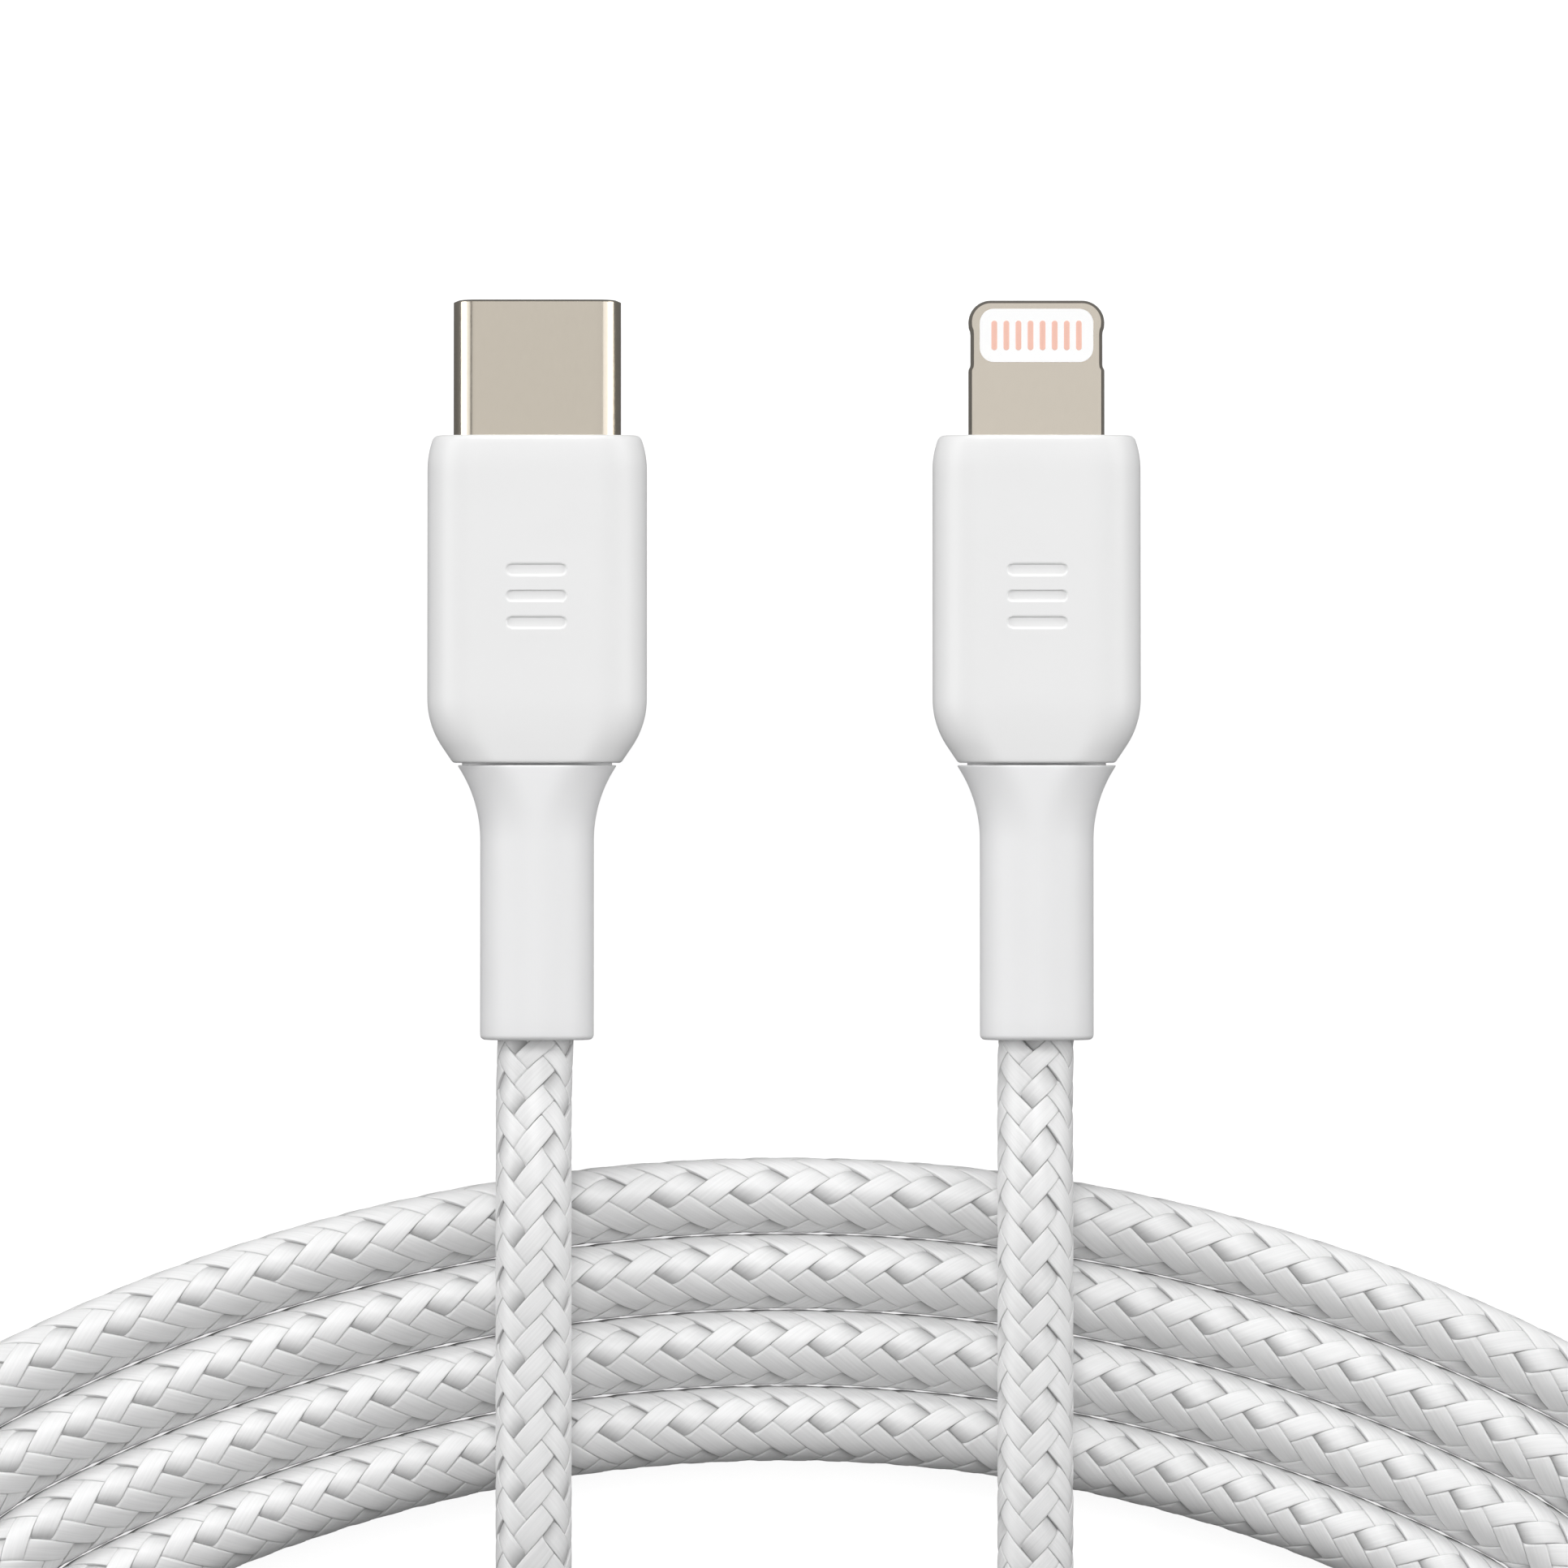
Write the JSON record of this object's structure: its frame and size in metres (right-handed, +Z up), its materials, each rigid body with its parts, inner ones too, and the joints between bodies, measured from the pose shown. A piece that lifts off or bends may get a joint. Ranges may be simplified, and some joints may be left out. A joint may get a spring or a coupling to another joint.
{
  "type": "charging cable",
  "caption": "Charging cable with a flat oval plug and a slim tab plug on a white braided cord, laid out with its cord wound in an oval coil.",
  "frame": {"origin": "on the surface that the cable lies on, under the middle of the box round the two plugs (the cord isn't counted)", "axes": "+Y is the way both plugs point, +Z is up, and +X is from the oval plug towards the tab plug"},
  "size_m": [0.1074, 0.1012, 0.0075],
  "materials": {
    "housing": "satin",
    "sleeve": "satin",
    "plug_steel": "satin",
    "insulator": "matte",
    "gold_contacts": "satin",
    "spring_steel": "satin",
    "carrier": "gloss",
    "contact_pads": "satin",
    "board": "satin",
    "chip": "matte",
    "board_parts": "matte",
    "can_steel": "satin",
    "inner_mould": "matte",
    "power_wire": "satin",
    "signal_wire": "satin",
    "core": "matte",
    "braid": "satin",
    "cord": "matte"
  },
  "bodies": {
    "cable": {"charger_shell": "plug_steel", "charger_insulator": "insulator", "charger_ground_springs": "spring_steel", "charger_board": "board", "charger_chip": "chip", "charger_board_parts": "board_parts", "charger_shield_can": "can_steel", "charger_crimp_ferrule": "can_steel", "charger_power_wires": "power_wire", "charger_signal_wires": "signal_wire", "charger_cord_core": "core", "charger_braid_end": "braid", "charger_inner_mould": "inner_mould", "charger_housing": "housing", "charger_strain_relief": "sleeve", "phone_tab": "plug_steel", "phone_contact_carrier": "carrier", "phone_contacts_upper": "contact_pads", "phone_contacts_lower": "contact_pads", "phone_board": "board", "phone_chip": "chip", "phone_board_parts": "board_parts", "phone_shield_can": "can_steel", "phone_crimp_ferrule": "can_steel", "phone_power_wires": "power_wire", "phone_signal_wires": "signal_wire", "phone_cord_core": "core", "phone_braid_end": "braid", "phone_inner_mould": "inner_mould", "phone_housing": "housing", "phone_strain_relief": "sleeve", "cord_lead_charger": "cord", "cord_lead_phone": "cord", "cord_coil": "cord"},
    "latch_left": {"charger_latch_left": "spring_steel"},
    "latch_right": {"charger_latch_right": "spring_steel"},
    "contacts_upper": {"charger_contacts_upper": "gold_contacts"},
    "contacts_lower": {"charger_contacts_lower": "gold_contacts"}
  },
  "joints": [
    {"name": "latch_left_flex", "type": "hinge", "parent": "cable", "child": "latch_left", "pos_m": [-0.01568, 0.01093, 0.00295], "axis": [0, 0.0436, 0.999], "range_deg": [0, 1.5], "stiffness_Nm_per_rad": 0.00025},
    {"name": "latch_right_flex", "type": "hinge", "parent": "cable", "child": "latch_right", "pos_m": [-0.00864, 0.01093, 0.00295], "axis": [0, 0.0436, 0.999], "range_deg": [-1.5, 0], "stiffness_Nm_per_rad": 0.00025},
    {"name": "contacts_upper_flex", "type": "hinge", "parent": "cable", "child": "contacts_upper", "pos_m": [-0.01216, 0.00944, 0.00333], "axis": [1, 0, 0], "range_deg": [0, 1], "stiffness_Nm_per_rad": 0.0005},
    {"name": "contacts_lower_flex", "type": "hinge", "parent": "cable", "child": "contacts_lower", "pos_m": [-0.01216, 0.00942, 0.00271], "axis": [1, 0, 0], "range_deg": [-1, 0], "stiffness_Nm_per_rad": 0.0005}
  ],
  "couplings": [
    {"joint": "latch_right_flex", "follows": "latch_left_flex", "ratio": -1},
    {"joint": "contacts_lower_flex", "follows": "contacts_upper_flex", "ratio": -1}
  ]
}
